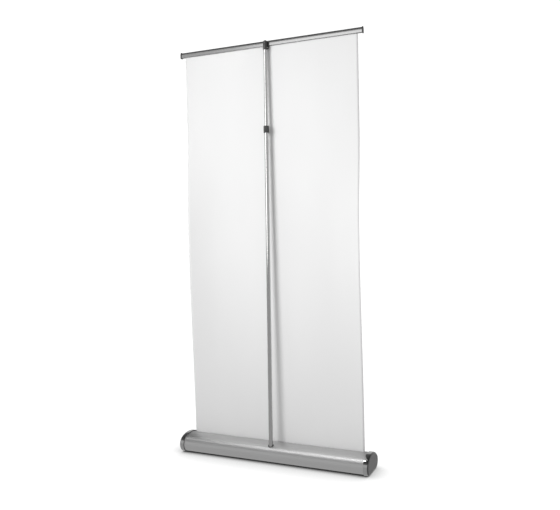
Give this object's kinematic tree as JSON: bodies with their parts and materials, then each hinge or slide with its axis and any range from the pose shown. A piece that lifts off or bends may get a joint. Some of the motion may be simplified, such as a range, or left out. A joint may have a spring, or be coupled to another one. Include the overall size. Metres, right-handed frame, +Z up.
{
  "type": "roll-up banner stand",
  "caption": "Free-standing roll-up banner stand: domed aluminium base with a sprung roller, a film banner leaning back, a snap rail on top and a telescopic pole behind.",
  "frame": {"origin": "floor level under the banner slot, halfway along the base, on the underside of the middle foot strip", "axes": "+X along the base, +Y towards the pole at the back, +Z up; the printed side of the banner faces -Y"},
  "size_m": [0.998, 0.2309, 2.0605],
  "materials": {
    "satin_aluminium": "satin anodised, brushed lengthwise",
    "rail_aluminium": "satin anodised, a little brighter than the base",
    "polished_aluminium": "polished and clear anodised",
    "chrome": "bright chrome plate on plastic",
    "steel": "zinc plated",
    "grey_plastic": "fine-grained moulding",
    "dark_plastic": "fine-grained moulding, slight sheen",
    "rubber": "matt black",
    "felt": "short-pile felt",
    "film": "matt white banner film, slightly translucent",
    "cord": "braided elastic cord"
  },
  "bodies": {
    "base": {"casing": "satin_aluminium", "end_cap_left": "chrome", "end_cap_right": "chrome", "end_plate_left": "grey_plastic", "end_plate_right": "grey_plastic", "end_cap_screws_left": "steel", "end_cap_screws_right": "steel", "foot_strip_front": "rubber", "foot_strip_middle": "rubber", "foot_strip_back": "rubber", "slot_felt_front": "felt", "slot_felt_back": "felt", "roller_bracket_left": "steel", "roller_bracket_right": "steel", "bracket_screws": "steel", "spring_arbor": "steel", "arbor_collar": "grey_plastic", "torsion_spring": "steel", "idler_pin": "steel", "pole_socket": "dark_plastic", "socket_ring": "dark_plastic", "banner_sheet": "film", "pole_foot": "dark_plastic", "bottom_tube": "polished_aluminium", "ferrule": "satin_aluminium", "middle_tube": "polished_aluminium", "shock_cord": "cord", "cord_anchor": "dark_plastic", "collet": "grey_plastic"},
    "roller": {"roller_tube": "satin_aluminium", "spring_plug": "dark_plastic", "idler_plug": "dark_plastic", "banner_roll": "film"},
    "rail": {"rail_back": "rail_aluminium", "rail_grip": "rubber", "rail_cap_left": "dark_plastic", "rail_cap_right": "dark_plastic"},
    "flap": {"rail_flap": "rail_aluminium"},
    "lock": {"lock_collar": "dark_plastic"},
    "upper_pole": {"upper_tube": "polished_aluminium", "tube_guide": "dark_plastic", "top_hook": "dark_plastic", "hook_pin": "steel", "hook_cap": "dark_plastic"}
  },
  "joints": [
    {"name": "banner_retract", "type": "slide", "parent": "base", "child": "rail", "axis": [0, -0.0576, -0.9983], "range_m": [0, 1.934], "deforming": ["banner_sheet"]},
    {"name": "roller_spin", "type": "hinge", "parent": "base", "child": "roller", "pos_m": [0, -0.01923, 0.04389], "axis": [1, 0, 0], "continuous": true},
    {"name": "flap_open", "type": "hinge", "parent": "rail", "child": "flap", "pos_m": [0, 0.1133, 2.05491], "axis": [-1, 0, 0], "range_deg": [0, 60]},
    {"name": "pole_telescope", "type": "slide", "parent": "base", "child": "upper_pole", "axis": [0, 0.0355, 0.9994], "range_m": [-0.36, 0]},
    {"name": "collar_twist", "type": "hinge", "parent": "base", "child": "lock", "pos_m": [0, 0.11687, 1.62782], "axis": [0, 0.0355, 0.9994], "range_deg": [0, 90]}
  ],
  "couplings": [
    {"joint": "roller_spin", "follows": "banner_retract", "rad_per_m": -55}
  ]
}
